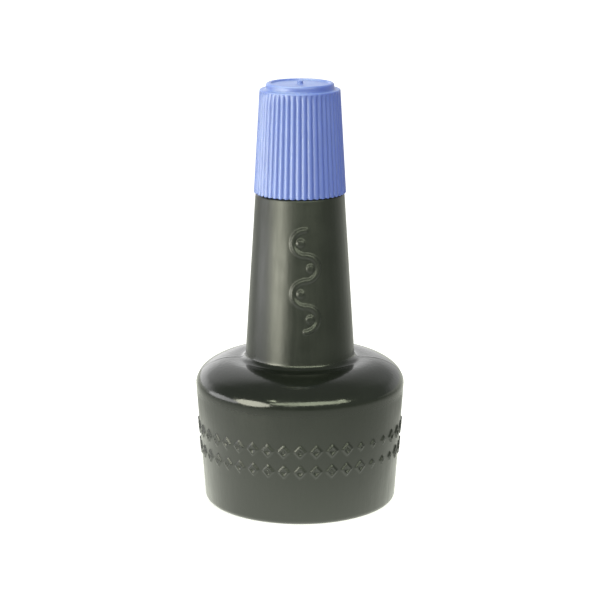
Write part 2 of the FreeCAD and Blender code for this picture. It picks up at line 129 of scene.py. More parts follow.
class CapSizes(bpy.types.PropertyGroup):
    """Sizes of the screw cap."""

    foot_radius: length("Foot radius", 8.73, "Radius over the ribs at the open end")
    lip_radius: length("Lip radius", 7.58, "Radius over the ribs at the lip")
    lip_height: length("Lip height", 79.6, "Height of the flat lip")
    lip_round: length("Lip rounding", 0.4, "Rounding of the lip's edge")
    crown_radius: length("Crown radius", 6.4, "Outer radius of the raised ring")
    crown_height: length("Crown height", 80.8, "Height of the raised ring")
    crown_round: length("Crown rounding", 0.8, "Rounding of the ring's outer edge")
    crown_foot_round: length("Crown foot rounding", 0.35, "Hollow rounding between lip and ring")
    dish_radius: length("Dish radius", 5.45, "Radius of the dish inside the ring")
    dish_edge: length("Dish edge", 80.5, "Height of the dish beside the ring")
    dish_middle: length("Dish middle", 80.6, "Height of the dish round its nub")
    gate_radius: length("Gate radius", 0.55, "Radius of the moulding gate's nub")
    gate_height: length("Gate height", 81.2, "Height of the nub's top")
    ribs: count("Ribs", 46, "Grip ribs round the cap")
    rib_depth: length("Rib depth", 0.32, "Depth of the grooves between ribs")
    rib_top: length("Rib top", 79.3, "Height where the grooves end")
    bore_radius: length("Bore radius", 6.95, "Radius of the bore round the mouth")
    thread_crest: length("Thread crest", 6.2, "Inner radius of the cap's thread")
    thread_start: length("Thread start", 60.9, "Height where the cap's thread starts")
    seat_height: length("Seat height", 71.55, "Height of the seat that presses on the liner")
    well_radius: length("Well radius", 5.3, "Radius of the well round the spout")
    well_height: length("Well height", 78.7, "Height of the well's ceiling")
    pin_radius: length("Pin radius", 0.45, "Radius of the pin that closes the orifice")
    pin_height: length("Pin height", 76.2, "Height of the pin's lower end")


class FittingSizes(bpy.types.PropertyGroup):
    """Sizes of the thread, the dropper insert, the liner and the ink."""

    pitch: length("Pitch", 3.0, "Thread pitch")
    turns: bpy.props.FloatProperty(name="Turns", description="Turns of thread", default=1.5)
    thread_root: length("Thread root", 1.5, "Width of a thread at its root")
    thread_tip: length("Thread tip", 0.7, "Width of a thread at its crest")
    flange_radius: length("Flange radius", 5.7, "Radius of the insert's flange")
    flange_base: length("Flange base", 69.5, "Height of the mouth's rim under the flange")
    flange_top: length("Flange top", 70.5, "Height of the flange's top")
    plug_radius: length("Plug radius", 4.25, "Radius of the insert's plug")
    spout_foot: length("Spout foot", 3.4, "Radius of the spout at the flange")
    spout_tip: length("Spout tip", 1.5, "Radius of the spout's tip")
    orifice_radius: length("Orifice radius", 0.5, "Radius of the orifice")
    orifice_depth: length("Orifice depth", 2.4, "Length of the orifice")
    funnel_radius: length("Funnel radius", 3.3, "Radius of the funnel at the plug's foot")
    bead_spacing: length("Bead spacing", 1.5, "Distance between the plug's beads")
    bead_half: length("Bead half height", 0.3, "Half height of a bead")
    liner_hole: length("Liner hole", 3.9, "Radius of the liner's hole")
    meniscus: length("Meniscus", 0.7, "How far the ink climbs the wall")


class Finish(bpy.types.PropertyGroup):
    """Colours of the pieces."""

    bottle: colour("Bottle", "#181C16", "Black masterbatch polyethylene")
    bottle_drift: colour("Bottle drift", "#1F231D", "The same where the pigment is thinner")
    cap: colour("Cap", "#4C5EAE", "Periwinkle polypropylene")
    cap_drift: colour("Cap drift", "#4657A4", "The same along the flow of the melt")
    insert: colour("Insert", "#E9E7DC", "Natural polyethylene")
    insert_drift: colour("Insert drift", "#DAD8CC", "The same where it is thicker")
    liner: colour("Liner", "#EFEFEA", "Foamed polyethylene")
    liner_cell: colour("Liner cell", "#D9D9D3", "The middle of a closed cell")
    ink: colour("Ink", "#14122A", "Stamp-pad ink")
    ink_drift: colour("Ink drift", "#1B1838", "The same where light gets into it")
    floor: colour("Floor", "#F4F4F2", "Pale paper floor")


class StageSizes(bpy.types.PropertyGroup):
    """The camera and the studio."""

    distance: length("Distance", 389.6, "Distance from the camera to the axis")
    height: length("Height", 133.3, "Height of the camera")
    tilt: bpy.props.FloatProperty(
        name="Tilt", description="Downward tilt of the camera", default=radians(13.6), subtype="ANGLE"
    )
    lens: bpy.props.FloatProperty(
        name="Lens", description="Focal length on a 36 mm sensor", default=125.8, unit="CAMERA"
    )
    floor_size: length("Floor size", 6000, "Width of the floor")


GROUPS = {
    "bottle": BottleSizes,
    "cap": CapSizes,
    "fitting": FittingSizes,
    "finish": Finish,
    "stage": StageSizes,
}


def settings(name):
    """One group of sizes, as it stands in the scene."""
    return getattr(bpy.context.scene, "ink_bottle_" + name)


# ---------------------------------------------------------------- outlines, as (radius, height) points


def arc(centre, radius, start, stop, steps):
    """Points on an arc about centre, from angle start to stop in degrees."""
    points = []
    for step in range(steps + 1):
        angle = radians(start + (stop - start) * step / steps)
        points.append((centre[0] + radius * cos(angle), centre[1] + radius * sin(angle)))
    return points


def run(start, stop, step):
    """Points on a straight side, no further apart than step, without the first."""
    pieces = max(1, ceil(hypot(stop[0] - start[0], stop[1] - start[1]) / step))
    return [
        (start[0] + (stop[0] - start[0]) * k / pieces, start[1] + (stop[1] - start[1]) * k / pieces)
        for k in range(1, pieces + 1)
    ]


def rounded(corners, radius, step=0.5 * MM, steps=4):
    """Joins corners with straight sides and rounds each inner corner by radius, or by its own third number."""
    points = [corners[0][:2]]
    for before, corner, after in zip(corners, corners[1:], corners[2:]):
        tip = Vector(corner[:2])
        back, ahead = Vector(before[:2]) - tip, Vector(after[:2]) - tip
        half = back.angle(ahead) / 2
        size = corner[2] if len(corner) > 2 else radius
        reach = min(size / tan(half), 0.45 * back.length, 0.45 * ahead.length)
        size = reach * tan(half)
        middle = tip + (back.normalized() + ahead.normalized()).normalized() * size / sin(half)
        start, stop = tip + back.normalized() * reach, tip + ahead.normalized() * reach
        points += run(points[-1], tuple(start), step)
        for k in range(1, steps + 1):
            spoke = (start - middle).slerp(stop - middle, k / steps)
            points.append(tuple(middle + spoke.normalized() * size))
    points += run(points[-1], corners[-1][:2], step)
    return points


def smooth(low, high, value):
    """Rises softly from 0 at low to 1 at high."""
    t = min(1.0, max(0.0, (value - low) / (high - low)))
    return t * t * (3 - 2 * t)


# ---------------------------------------------------------------- meshes turned about the axis


class Turning:
    """A closed mesh turned about the Z axis, ring by ring, with a height over each point if wanted."""

    def __init__(self):
        self.points = []
        self.faces = []
        self.ring = None

    def pole(self, height):
        """Starts or closes the mesh on the axis."""
        self.points.append((0.0, 0.0, height))
        tip = [len(self.points) - 1]
        if self.ring is not None:
            self.join(self.ring, tip)
        self.ring = tip

    def add(self, outline, columns, relief=None, start=0):
        """Adds a ring for each outline point. relief(radius, height, azimuth) moves it along its normal."""
        for index in range(start, len(outline)):
            radius, height = outline[index]
            before = outline[max(index - 1, 0)]
            after = outline[min(index + 1, len(outline) - 1)]
            along = Vector((after[0] - before[0], after[1] - before[1]))
            out = Vector((along.y, -along.x)).normalized() if along.length else Vector((1, 0))
            first = len(self.points)
            for column in range(columns):
                azimuth = 2 * pi * column / columns
                rise = relief(radius, height, azimuth) if relief else 0.0
                across, up = radius + out.x * rise, height + out.y * rise
                self.points.append((across * sin(azimuth), -across * cos(azimuth), up))
            ring = list(range(first, first + columns))
            if self.ring is not None:
                self.join(self.ring, ring)
            self.ring = ring

    def join(self, lower, upper):
        """Joins two rings of equal count, of double or half the count, or a ring and a pole."""
        a, b = len(lower), len(upper)
        if a == 1:
            self.faces += [(lower[0], upper[(k + 1) % b], upper[k]) for k in range(b)]
        elif b == 1:
            self.faces += [(lower[k], lower[(k + 1) % a], upper[0]) for k in range(a)]
        elif a == b:
            self.faces += [(lower[k], lower[(k + 1) % a], upper[(k + 1) % a], upper[k]) for k in range(a)]
        elif a > b:
            many = a // b
            for k in range(b):
                fine = [lower[(k * many + m) % a] for m in range(many + 1)]
                self.faces.append(tuple(fine + [upper[(k + 1) % b], upper[k]]))
        else:
            many = b // a
            for k in range(a):
                fine = [upper[(k * many + m) % b] for m in range(many + 1)]
                self.faces.append(tuple([lower[k], lower[(k + 1) % a]] + fine[::-1]))

    def close(self):
        """Joins the last ring to the first, for a mesh with a hole through it."""
        self.join(self.ring, list(range(len(self.ring))))

    def piece(self, name, material):
        """The finished mesh as an object in the scene."""
        mesh = bpy.data.meshes.new(name)
        mesh.from_pydata(self.points, [], self.faces)
        mesh.validate()
        mesh.materials.append(material)
        mesh.shade_smooth()
        made = bpy.data.objects.new(name, mesh)
        bpy.context.scene.collection.objects.link(made)
        return made


def thread_height(height, azimuth, start, depth):
    """Height of a right-hand thread's section over its wall. The thread starts on the +X side."""
    fitting = settings("fitting")
    half_root, half_tip = fitting.thread_root / 2, fitting.thread_tip / 2
    best = 0.0
    for turn in range(int(fitting.turns) + 2):
        turned = (azimuth / (2 * pi) - 0.25) % 1 + turn
        if turned > fitting.turns:
            continue
        offset = abs(height - start - turned * fitting.pitch)
        section = 1 - smooth(half_tip, half_root, offset)
        run_out = smooth(0, 0.06, turned) * smooth(0, 0.06, fitting.turns - turned)
        best = max(best, section * run_out)
    return best * depth


# ---------------------------------------------------------------- heights raised on the bottle and the cap


def lozenge_line(across, up, half_width, half_height, line):
    """How far a point stands on a lozenge's raised line, from 0 to 1."""
    scale = half_width * half_height / hypot(half_width, half_height)
    inside = (1 - abs(across) / half_width - abs(up) / half_height) * scale
    soft = 0.09 * MM
    return 1 - smooth(line / 2 - soft, line / 2 + soft, abs(inside - line / 2))


def wall_marks(radius, height, azimuth):
    """Two rows of hollow lozenges, with a shorter run of small ones on the right of the front."""
    bottle = settings("bottle")
    pitch = 2 * pi / bottle.marks
    number = round(azimuth / pitch)
    across = (azimuth - number * pitch) * radius
    degrees_round = (number * 360 / bottle.marks + 180) % 360 - 180
    best = 0.0
    for row, lift in enumerate((bottle.upper_row, bottle.lower_row)):
        shrink = 0.62 if 30 < degrees_round - 9 * row < 56 else 1.0
        up = height - lift
        best = max(
            best,
            lozenge_line(
                across, up, bottle.mark_half_width * shrink, bottle.mark_half_height * shrink, bottle.mark_line
            ),
        )
        if (number + row) % 3 == 0:
            best = max(best, 1 - smooth(0.14 * MM, 0.34 * MM, hypot(across, up)))
    return best


def neck_wave(radius, height, azimuth):
    """A wave of half rings down the front of the neck, with a dot in each bend."""
    bottle = settings("bottle")
    if cos(azimuth) < 0.3:
        return 0.0
    across = radius * sin(azimuth) - bottle.wave_side
    number = int((height - bottle.wave_foot) // (2 * bottle.wave_round))
    nearest = 1.0
    for bend in range(max(0, number - 1), min(bottle.wave_bends, number + 2)):
        side = 1 if bend % 2 == 0 else -1
        up = height - bottle.wave_foot - bottle.wave_round * (2 * bend + 1)
        if side * across >= 0:
            nearest = min(nearest, abs(hypot(across, up) - bottle.wave_round))
        ends = hypot(across, abs(up) - bottle.wave_round)
        dot = hypot(across - side * bottle.wave_dot_out, up) - bottle.wave_dot + bottle.wave_line / 2
        nearest = min(nearest, ends, max(dot, 0.0))
    half = bottle.wave_line / 2
    return 1 - smooth(half - 0.2 * MM, half, nearest)


def bottle_relief(radius, height, azimuth):
    """Everything that stands on the blown wall or bends it."""
    bottle = settings("bottle")
    rise = 0.0
    if bottle.lower_row - 2 * MM < height < bottle.upper_row + 2 * MM:
        rise += bottle.relief * wall_marks(radius, height, azimuth)
    elif bottle.shoulder_height + 3 * MM < height:
        rise += bottle.relief * neck_wave(radius, height, azimuth)
    seam = min(abs(azimuth - pi / 2), abs(azimuth - 3 * pi / 2)) * radius
    rise += bottle.seam_proud * (1 - smooth(0.1 * bottle.seam_width, 0.7 * bottle.seam_width, seam))
    place = Vector((radius * sin(azimuth), -radius * cos(azimuth), height)) / (9 * MM)
    rise -= bottle.waviness * (0.5 + 0.5 * noise.noise(place))
    return rise


def cap_ribs(radius, height, azimuth):
    """Round grip ribs with narrow grooves, which end under the lip."""
    cap = settings("cap")
    phase = cap.ribs * (azimuth - radians(2)) / 2
    groove = 1 - abs(sin(phase)) ** 0.8
    return -cap.rib_depth * groove * (1 - smooth(cap.rib_top - 0.4 * MM, cap.rib_top + 0.15 * MM, height))


# ---------------------------------------------------------------- materials


def linear(hex_value, alpha=1.0):
    """Turns an sRGB hex colour to the linear colour that shaders take."""
    channels = [int(hex_value[k : k + 2], 16) / 255 for k in (1, 3, 5)]
    return [c / 12.92 if c <= 0.04045 else ((c + 0.055) / 1.055) ** 2.4 for c in channels] + [alpha]


def add(tree, kind, links=None, **values):
    """Adds a node. links maps its inputs to other nodes' outputs, and values sets inputs or properties."""
    node = tree.nodes.new("ShaderNode" + kind)
    for name, value in values.items():
        socket = node.inputs.get(name.replace("_", " ").title())
        if socket is None:
            setattr(node, name, value)
        else:
            socket.default_value = value
    for name, output in (links or {}).items():
        tree.links.new(output, node.inputs[name])
    return node


def per_mm(size_mm):
    """The scale that makes one cell of a pattern size_mm wide, on coordinates in metres."""
    return 1 / (size_mm * MM)


def new_material(name):
    """A material with its tree, its shader and the object's own coordinates."""
    made = bpy.data.materials.new(name)
    made.use_nodes = True
    tree = made.node_tree
    shader = tree.nodes["Principled BSDF"]
    place = add(tree, "TexCoord").outputs["Object"]
    return made, tree, shader, place


def ramp(tree, value, low, high, out_low, out_high):
    """Maps a value from one range to another, held at the ends."""
    node = tree.nodes.new("ShaderNodeMapRange")
    node.interpolation_type = "SMOOTHSTEP"
    tree.links.new(value, node.inputs["Value"])
    for name, number in (("From Min", low), ("From Max", high), ("To Min", out_low), ("To Max", out_high)):
        node.inputs[name].default_value = number
    return node.outputs["Result"]


def maths(tree, operation, first, second):
    """One step of arithmetic on two sockets or numbers."""
    node = tree.nodes.new("ShaderNodeMath")
    node.operation = operation
    for socket, value in zip(node.inputs, (first, second)):
        if isinstance(value, (int, float)):
            socket.default_value = value
        else:
            tree.links.new(value, socket)
    return node.outputs[0]


def blown_black_polyethylene():
    """Black polyethylene, extrusion blow moulded: a soft gloss over sand-blasted mould walls, with fine
    upright lines drawn by the die on the neck and a smoother, brighter gloss on the stretched shoulder."""
    made, tree, shader, place = new_material("blown_black_polyethylene")
    colours, bottle = settings("finish"), settings("bottle")
    height = add(tree, "SeparateXYZ", {"Vector": place}).outputs["Z"]
    above = ramp(tree, height, bottle.rim_height - 2 * MM, bottle.rim_height, 0, 1)
    below = ramp(tree, height, bottle.shoulder_height + 0.4 * MM, bottle.shoulder_height + 1.2 * MM, 1, 0)
    shoulder = maths(tree, "MULTIPLY", above, below)

    orange_peel = add(tree, "TexNoise", {"Vector": place}, scale=per_mm(0.9), detail=2.0, roughness=0.5)
    upright = add(tree, "Mapping", {"Vector": place})
    upright.inputs["Scale"].default_value = (1, 1, 0.02)
    die_lines = add(tree, "TexNoise", {"Vector": upright.outputs[0]}, scale=per_mm(0.7), detail=3.0, roughness=0.6)
    scuffs = add(tree, "TexNoise", {"Vector": place}, scale=per_mm(6), detail=4.0, roughness=0.55)

    neck = ramp(tree, height, bottle.shoulder_height + 1 * MM, bottle.shoulder_height + 35 * MM, 0.31, 0.38)
    wall = ramp(tree, height, bottle.rim_height - 2 * MM, bottle.rim_height, 0.04, 0)
    matt = maths(tree, "SUBTRACT", maths(tree, "ADD", neck, wall), maths(tree, "MULTIPLY", shoulder, 0.16))
    drift = ramp(tree, scuffs.outputs["Fac"], 0.3, 0.7, -0.03, 0.04)
    lines = ramp(tree, die_lines.outputs["Fac"], 0.35, 0.65, -0.02, 0.03)
    rough = maths(tree, "ADD", maths(tree, "ADD", matt, drift), lines)
    tree.links.new(rough, shader.inputs["Roughness"])

    lined = add(tree, "Bump", {"Height": die_lines.outputs["Fac"]}, strength=0.3, distance=0.05 * MM)
    peel = add(
        tree,
        "Bump",
        {"Height": orange_peel.outputs["Fac"], "Normal": lined.outputs["Normal"]},
        strength=0.22,
        distance=0.06 * MM,
    )
    tree.links.new(peel.outputs["Normal"], shader.inputs["Normal"])

    pigment = add(tree, "MixRGB", {"Fac": scuffs.outputs["Fac"]})
    pigment.inputs["Color1"].default_value = linear(colours.bottle)
    pigment.inputs["Color2"].default_value = linear(colours.bottle_drift)
    tree.links.new(pigment.outputs[0], shader.inputs["Base Color"])
    shader.inputs["IOR"].default_value = 1.51
    return made


def moulded_blue_polypropylene():
    """Periwinkle polypropylene, injection moulded: a satin skin from a spark-eroded mould that lets a little
    light into the ribs, so their thin crests look paler than the grooves."""
    made, tree, shader, place = new_material("moulded_blue_polypropylene")
    colours = settings("finish")
    grain = add(tree, "TexNoise", {"Vector": place}, scale=per_mm(0.25), detail=3.0, roughness=0.6)
    flow = add(tree, "TexNoise", {"Vector": place}, scale=per_mm(5), detail=2.0, roughness=0.5)
    tone = add(tree, "MixRGB", {"Fac": flow.outputs["Fac"]})
    tone.inputs["Color1"].default_value = linear(colours.cap)
    tone.inputs["Color2"].default_value = linear(colours.cap_drift)
    tree.links.new(tone.outputs[0], shader.inputs["Base Color"])
    tree.links.new(ramp(tree, grain.outputs["Fac"], 0.3, 0.7, 0.36, 0.46), shader.inputs["Roughness"])
    bump = add(tree, "Bump", {"Height": grain.outputs["Fac"]}, strength=0.12, distance=0.02 * MM)
    tree.links.new(bump.outputs["Normal"], shader.inputs["Normal"])
    shader.inputs["IOR"].default_value = 1.49
    shader.inputs["Specular IOR Level"].default_value = 0.6
    shader.inputs["Coat Weight"].default_value = 0.3
    shader.inputs["Coat Roughness"].default_value = 0.55
    shader.inputs["Subsurface Weight"].default_value = 0.25
    shader.inputs["Subsurface Radius"].default_value = (0.6, 0.6, 0.9)
    shader.inputs["Subsurface Scale"].default_value = 0.8 * MM
    return made


def moulded_natural_polyethylene():
    """Unpigmented low-density polyethylene, injection moulded: milky, waxy and soft to the touch."""
    made, tree, shader, place = new_material("moulded_natural_polyethylene")
    wax = add(tree, "TexNoise", {"Vector": place}, scale=per_mm(1.5), detail=3.0, roughness=0.5)
    tone = add(tree, "MixRGB", {"Fac": wax.outputs["Fac"]})
    tone.inputs["Color1"].default_value = linear(settings("finish").insert)
    tone.inputs["Color2"].default_value = linear(settings("finish").insert_drift)
    tree.links.new(tone.outputs[0], shader.inputs["Base Color"])
    tree.links.new(ramp(tree, wax.outputs["Fac"], 0.3, 0.7, 0.34, 0.48), shader.inputs["Roughness"])
    bump = add(tree, "Bump", {"Height": wax.outputs["Fac"]}, strength=0.1, distance=0.03 * MM)
    tree.links.new(bump.outputs["Normal"], shader.inputs["Normal"])
    shader.inputs["IOR"].default_value = 1.51
    shader.inputs["Subsurface Weight"].default_value = 0.5
    shader.inputs["Subsurface Radius"].default_value = (1.0, 0.9, 0.7)
    shader.inputs["Subsurface Scale"].default_value = 1.5 * MM
    return made


def foamed_polyethylene():
    """Expanded polyethylene sheet, die cut: dull white with fine closed cells that show on its cut edge."""
    made, tree, shader, place = new_material("foamed_polyethylene")
    cells = add(tree, "TexVoronoi", {"Vector": place}, scale=per_mm(0.3))
    tone = add(tree, "MixRGB", {"Fac": cells.outputs["Distance"]})
    tone.inputs["Color1"].default_value = linear(settings("finish").liner_cell)
    tone.inputs["Color2"].default_value = linear(settings("finish").liner)
    tree.links.new(tone.outputs[0], shader.inputs["Base Color"])
    tree.links.new(ramp(tree, cells.outputs["Distance"], 0, 0.6, 0.7, 0.9), shader.inputs["Roughness"])
    bump = add(tree, "Bump", {"Height": cells.outputs["Distance"]}, strength=0.4, distance=0.05 * MM)
    tree.links.new(bump.outputs["Normal"], shader.inputs["Normal"])
    return made


def stamp_pad_ink():
    """Glycol-based stamp ink: nearly opaque violet-black with a wet, level surface."""
    made, tree, shader, place = new_material("stamp_pad_ink")
    depth = add(tree, "TexNoise", {"Vector": place}, scale=per_mm(8), detail=1.0, roughness=0.5)
    tone = add(tree, "MixRGB", {"Fac": depth.outputs["Fac"]})
    tone.inputs["Color1"].default_value = linear(settings("finish").ink)
    tone.inputs["Color2"].default_value = linear(settings("finish").ink_drift)
    tree.links.new(tone.outputs[0], shader.inputs["Base Color"])
    tree.links.new(ramp(tree, depth.outputs["Fac"], 0.3, 0.7, 0.04, 0.08), shader.inputs["Roughness"])
    shader.inputs["IOR"].default_value = 1.4
    return made


# ---------------------------------------------------------------- outlines of the pieces


def body_outline(inset):
    """The body's outline from the leaning wall's foot to the start of the flat shoulder, drawn inset inward."""
    bottle = settings("bottle")
    lean = (bottle.rim_radius - bottle.foot_radius) / bottle.rim_height
    rim = (bottle.rim_radius - bottle.rim_round, bottle.rim_height)
    drop = bottle.shoulder_round - (bottle.shoulder_height - bottle.rim_height)
    reach = bottle.shoulder_round - bottle.rim_round
    shoulder = (rim[0] - sqrt(reach**2 - drop**2), rim[1] - drop)
    turn = atan2(rim[1] - shoulder[1], rim[0] - shoulder[0]) * 180 / pi
    leaning = -atan2(lean, 1) * 180 / pi
    low = arc(rim, bottle.rim_round - inset, leaning, turn, 14)
    high = arc(shoulder, bottle.shoulder_round - inset, turn, 90, 10)
    return lean, low + high[1:]


class Built:
    """Shared steps for the operators that make pieces."""

    bl_options = {"REGISTER", "UNDO"}

    def place(self, piece, body, node):
        """A piece rides on its body and stands for its CAD node, which is hidden."""
        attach(piece, body)
        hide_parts(node)
        return {"FINISHED"}


class OBJECT_OT_ink_bottle_bottle(Built, bpy.types.Operator):
    """Makes the blown bottle: body, neck and threaded mouth in one closed shell"""

    bl_idname = "object.ink_bottle_bottle"
    bl_label = "Bottle"

    def execute(self, context):
        bottle = settings("bottle")
        wall, foot, top = bottle.wall, BOTTLE_BOX[0][2], BOTTLE_BOX[1][2]
        lean, rim = body_outline(0)
        shell = Turning()

        shell.pole(foot + bottle.hollow_depth)
        middle = (12 * MM, foot + 0.9 * MM)
        ring = (bottle.hollow_radius, foot)
        base = rounded([(1 * MM, foot + bottle.hollow_depth), middle, ring, (16 * MM, foot)], 0.5 * MM, 2 * MM)
        shell.add(base, 150)

        marks_low, marks_high = bottle.lower_row - 1.7 * MM, bottle.upper_row + 1.7 * MM

        def at(height):
            return (bottle.foot_radius + lean * height, height)

        heel = rounded([base[-1], (bottle.foot_radius, foot), at(marks_low)], bottle.heel_round, 1 * MM, 10)
        marked = [at(marks_low)] + run(at(marks_low), at(marks_high), 0.17 * MM)
        upper = [at(marks_high)] + run(at(marks_high), rim[0], 0.8 * MM) + rim[1:]
        neck_foot = (bottle.neck_foot_radius, bottle.shoulder_height)
        neck_top = (bottle.neck_top_radius, bottle.neck_top_height)
        ledge_in = (bottle.mouth_radius, bottle.neck_top_height)
        wave_end = neck_foot_outline(bottle, neck_foot, neck_top, rim[-1])
        neck = neck_outline(bottle, neck_foot, neck_top, wave_end[-1])
        shell.add(heel, 300, bottle_relief, start=1)
        shell.add(marked, 600, bottle_relief, start=1)
        shell.add(upper, 300, bottle_relief, start=1)
        shell.add(wave_end, 300, bottle_relief, start=1)
        shell.add(neck, 300, bottle_relief, start=1)
        ledge = rounded([neck[-1], (*neck_top, bottle.ledge_round), ledge_in], bottle.ledge_round, 0.6 * MM)
        shell.add(ledge, 150, start=1)

        def mouth_thread(radius, height, azimuth):
            depth = bottle.thread_crest - bottle.mouth_radius
            return thread_height(height, azimuth, bottle.thread_start, depth)

        mouth = run(ledge_in, (bottle.mouth_radius, top - 0.4 * MM), 0.17 * MM)
        shell.add(mouth, 150, mouth_thread)
        bore_top = (bottle.bore_radius, top)
        lip = rounded([mouth[-1], (bottle.mouth_radius, top), bore_top, (bottle.bore_radius, top - 1 * MM)], 0.3 * MM)
        shell.add(lip, 75, start=1)

        under = top_of_inside(bottle)
        _, inner_rim = body_outline(wall)
        inner_neck = (bottle.neck_foot_radius - wall, bottle.shoulder_height - wall)
        inside = rounded([lip[-1], *under, inner_neck, inner_rim[-1]], 1 * MM, 3 * MM)
        shell.add(inside, 75, start=1)
        shell.add(inner_rim[::-1], 75, start=1)
        inner_foot = (bottle.foot_radius - wall + wall * lean, foot + wall)
        floor = [
            inner_rim[0],
            (*inner_foot, bottle.heel_round - wall),
            (bottle.hollow_radius, foot + wall),
            (12 * MM, foot + 0.9 * MM + wall),
            (1 * MM, foot + bottle.hollow_depth + wall),
        ]
        shell.add(rounded(floor, 0.5 * MM, 3 * MM), 75, start=1)
        shell.pole(foot + bottle.hollow_depth + wall)
        return self.place(shell.piece("blown_bottle", blown_black_polyethylene()), "bottle", "bottle")


def neck_foot_outline(bottle, neck_foot, neck_top, start):
    """Flat shoulder and the hollow rounding at the neck's foot."""
    end = Vector(neck_foot).lerp(Vector(neck_top), 0.08)
    return rounded([start, (*neck_foot, bottle.neck_foot_round), tuple(end)], 1, 0.6 * MM, 8)


def neck_outline(bottle, neck_foot, neck_top, start):
    """The tapered neck, with close rings under the raised wave."""
    end = Vector(neck_top).lerp(Vector(neck_foot), 0.02)
    wave_top = bottle.wave_foot + bottle.wave_bends * 2 * bottle.wave_round

    def at(height):
        return tuple(Vector(start).lerp(end, (height - start[1]) / (end.y - start[1])))

    low, high = at(bottle.wave_foot - 0.7 * MM), at(wave_top + 0.7 * MM)
    return [start] + run(start, low, 1 * MM) + run(low, high, 0.24 * MM) + run(high, tuple(end), 1 * MM)


def top_of_inside(bottle):
    """The step from the bore out to the inside of the neck."""
    return [
        (bottle.bore_radius, bottle.neck_top_height - bottle.wall / 2),
        (bottle.neck_top_radius - bottle.wall, bottle.neck_top_height - bottle.wall - 0.5 * MM),
    ]


class OBJECT_OT_ink_bottle_ink(Built, bpy.types.Operator):
    """Makes the ink, a hair inside the bottle's walls, with a meniscus"""

    bl_idname = "object.ink_bottle_ink"
    bl_label = "Ink"

    def execute(self, context):
        bottle, fitting = settings("bottle"), settings("fitting")
        low, level = INK_BOX[0][2], INK_BOX[1][2]
        gap = 0.02 * MM
        lean, rim = body_outline(bottle.wall + gap)
        inner = bottle.wall + gap
        share = (level - bottle.shoulder_height) / (bottle.neck_top_height - bottle.shoulder_height)
        neck = bottle.neck_foot_radius + share * (bottle.neck_top_radius - bottle.neck_foot_radius) - inner
        rise = bottle.hollow_depth + inner
        floor = [
            (1 * MM, rise),
            (12 * MM, 0.9 * MM + inner),
            (bottle.hollow_radius, inner),
            (bottle.foot_radius - inner + inner * lean, inner, bottle.heel_round - inner),
            rim[0],
        ]
        liquid = Turning()
        liquid.pole(rise)
        liquid.add(rounded(floor, 0.5 * MM, 3 * MM), 96)
        liquid.add(rim, 96, start=1)
        neck_foot = (bottle.neck_foot_radius - inner, bottle.shoulder_height - inner)
        climb = rounded([rim[-1], neck_foot, (neck, level)], 1 * MM, 3 * MM)
        liquid.add(climb, 96, start=1)
        steps = 8
        for step in range(1, steps):
            out = 1 - step / steps
            sink = fitting.meniscus * (1 - out**6)
            liquid.add([(neck * out, level - sink)], 96)
        liquid.pole(level - fitting.meniscus)
        return self.place(liquid.piece("ink_fill", stamp_pad_ink()), "bottle", "ink")


class OBJECT_OT_ink_bottle_insert(Built, bpy.types.Operator):
    """Makes the dropper insert: flange, beaded plug, spout and orifice"""

    bl_idname = "object.ink_bottle_insert"
    bl_label = "Dropper insert"

    def execute(self, context):
        fitting, bore = settings("fitting"), settings("bottle").bore_radius
        foot, tip = INSERT_BOX[0][2], INSERT_BOX[1][2]
        corners = [
            (fitting.orifice_radius, tip - 0.2 * MM),
            (fitting.orifice_radius, tip - fitting.orifice_depth),
            (fitting.funnel_radius, foot),
            (fitting.plug_radius - 0.2 * MM, foot),
            (fitting.plug_radius, foot + 0.5 * MM),
        ]
        for bead in (1, 2):
            middle = foot + fitting.bead_spacing * bead
            corners += [
                (fitting.plug_radius, middle - fitting.bead_half),
                (bore - 0.01 * MM, middle),
                (fitting.plug_radius, middle + fitting.bead_half),
            ]
        corners += [
            (fitting.plug_radius, fitting.flange_base),
            (fitting.flange_radius, fitting.flange_base),
            (fitting.flange_radius, fitting.flange_top),
            (fitting.spout_foot, fitting.flange_top),
            (fitting.spout_tip, tip),
            (fitting.orifice_radius, tip, 0.15 * MM),
            (fitting.orifice_radius, tip - 0.2 * MM),
        ]
        made = Turning()
        made.add(rounded(corners, 0.18 * MM, 0.6 * MM)[:-1], 96)
        made.close()
        piece = made.piece("dropper_plug", moulded_natural_polyethylene())
        return self.place(piece, "bottle", "dropper_insert")


class OBJECT_OT_ink_bottle_liner(Built, bpy.types.Operator):
    """Makes the foam sealing washer"""

    bl_idname = "object.ink_bottle_liner"
    bl_label = "Liner"

    def execute(self, context):
        hole, out = settings("fitting").liner_hole, LINER_BOX[1][0]
        low, high = LINER_BOX[0][2], LINER_BOX[1][2]
        start = (hole, (low + high) / 2)
        corners = [start, (hole, low), (out, low), (out, high), (hole, high), start]
        washer = Turning()
        washer.add(rounded(corners, 0.1 * MM, 0.5 * MM)[:-1], 96)
        washer.close()
        return self.place(washer.piece("foam_washer", foamed_polyethylene()), "liner", "cap_liner")


